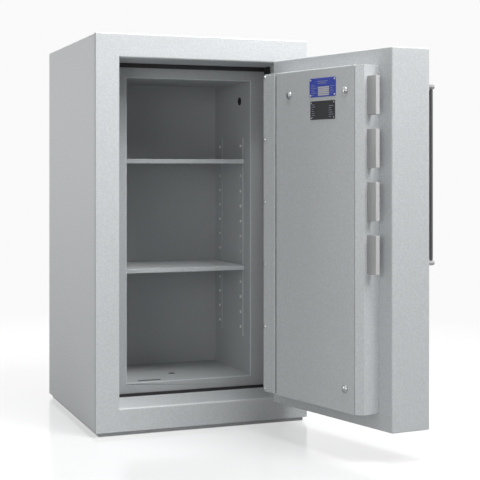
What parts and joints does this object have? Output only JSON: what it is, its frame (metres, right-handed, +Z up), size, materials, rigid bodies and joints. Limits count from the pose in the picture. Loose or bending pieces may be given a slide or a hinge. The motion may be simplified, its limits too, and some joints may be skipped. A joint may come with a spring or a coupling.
{
  "type": "safe",
  "caption": "Tall free-standing steel safe with a thick inset door on outside hinges, rectangular locking bolts, a long pull bar and adjustable shelves.",
  "frame": {"origin": "centre of the floor anchor's bore, which is the centre of the cabinet's footprint, on the floor", "axes": "+X to the right seen from the front, +Y to the back of the cabinet, +Z up; the door opens towards -Y"},
  "size_m": [0.832, 1.2366, 1.2],
  "materials": {
    "grey_paint": "fine textured light grey powder coat",
    "black_paint": "matte black paint",
    "barrier_concrete": "cast fire-resistant concrete",
    "black_rubber": "matte black rubber",
    "bright_steel": "zinc-plated and brushed steel",
    "bolt_steel": "satin bright steel",
    "chrome_screws": "polished chrome",
    "brass_parts": "machined brass",
    "blue_plate": "blue anodised plate with a pale field",
    "dark_plate": "dark grey engraved plate",
    "dark_bar": "satin dark grey coat"
  },
  "bodies": {
    "cabinet": {"outer_casing": "grey_paint", "back_plate": "grey_paint", "base_plate": "grey_paint", "plinth": "grey_paint", "door_frame": "grey_paint", "fill_left": "barrier_concrete", "fill_right": "barrier_concrete", "fill_top": "barrier_concrete", "fill_bottom": "barrier_concrete", "fill_back": "barrier_concrete", "inner_liner": "grey_paint", "mouth_flange": "grey_paint", "locking_channel": "black_paint", "hinge_seal": "black_rubber", "anchor_sleeve": "bright_steel", "rail_left_front": "grey_paint", "rail_left_rear": "grey_paint", "rail_right_front": "grey_paint", "rail_right_rear": "grey_paint", "shelf_upper": "grey_paint", "shelf_lower": "grey_paint", "shelf_clips": "bright_steel", "cable_grommet": "black_rubber", "frame_knuckles": "grey_paint", "hinge_pins": "bright_steel", "hinge_washers": "bright_steel"},
    "door": {"door_skin": "grey_paint", "door_fill": "barrier_concrete", "door_back_plate": "grey_paint", "door_knuckles": "grey_paint", "bolt_box_frame": "grey_paint", "bolt_box_lid": "grey_paint", "hinge_side_strip": "grey_paint", "strip_rivets": "chrome_screws", "lid_screws": "chrome_screws", "rating_plate_upper": "blue_plate", "rating_plate_lower": "dark_plate", "plate_rivets": "chrome_screws", "pull_posts": "bright_steel", "pull_bar": "dark_bar", "handle_rose": "bright_steel", "spindle_bush": "brass_parts", "guide_blocks": "brass_parts", "lock_case": "bright_steel", "key_rose": "bright_steel"},
    "bolts": {"locking_bolts": "bolt_steel", "bolt_carrier": "bright_steel", "bolt_screws": "bright_steel", "bolt_rack": "bright_steel"},
    "bolt_handle": {"handle_lever": "dark_bar", "handle_spindle": "bright_steel", "drive_pinion": "bright_steel"},
    "key_rotor": {"key_core": "bright_steel", "lock_cam": "brass_parts"}
  },
  "joints": [
    {"name": "door_swing", "type": "hinge", "parent": "cabinet", "child": "door", "pos_m": [0.3075, -0.3405, 0.6], "axis": [0, 0, 1], "range_deg": [-105, 65]},
    {"name": "handle_turn", "type": "hinge", "parent": "door", "child": "bolt_handle", "pos_m": [0.37699, -0.65006, 0.7785], "axis": [-0.9659, -0.2588, 0], "range_deg": [0, 90]},
    {"name": "bolt_slide", "type": "slide", "parent": "door", "child": "bolts", "axis": [0.2588, -0.9659, 0], "range_m": [0, 0.0597]},
    {"name": "key_turn", "type": "hinge", "parent": "door", "child": "key_rotor", "pos_m": [0.37492, -0.64234, 0.6305], "axis": [-0.9659, -0.2588, 0], "range_deg": [0, 90]}
  ],
  "couplings": [
    {"joint": "bolt_slide", "follows": "handle_turn", "m_per_rad": 0.038}
  ]
}
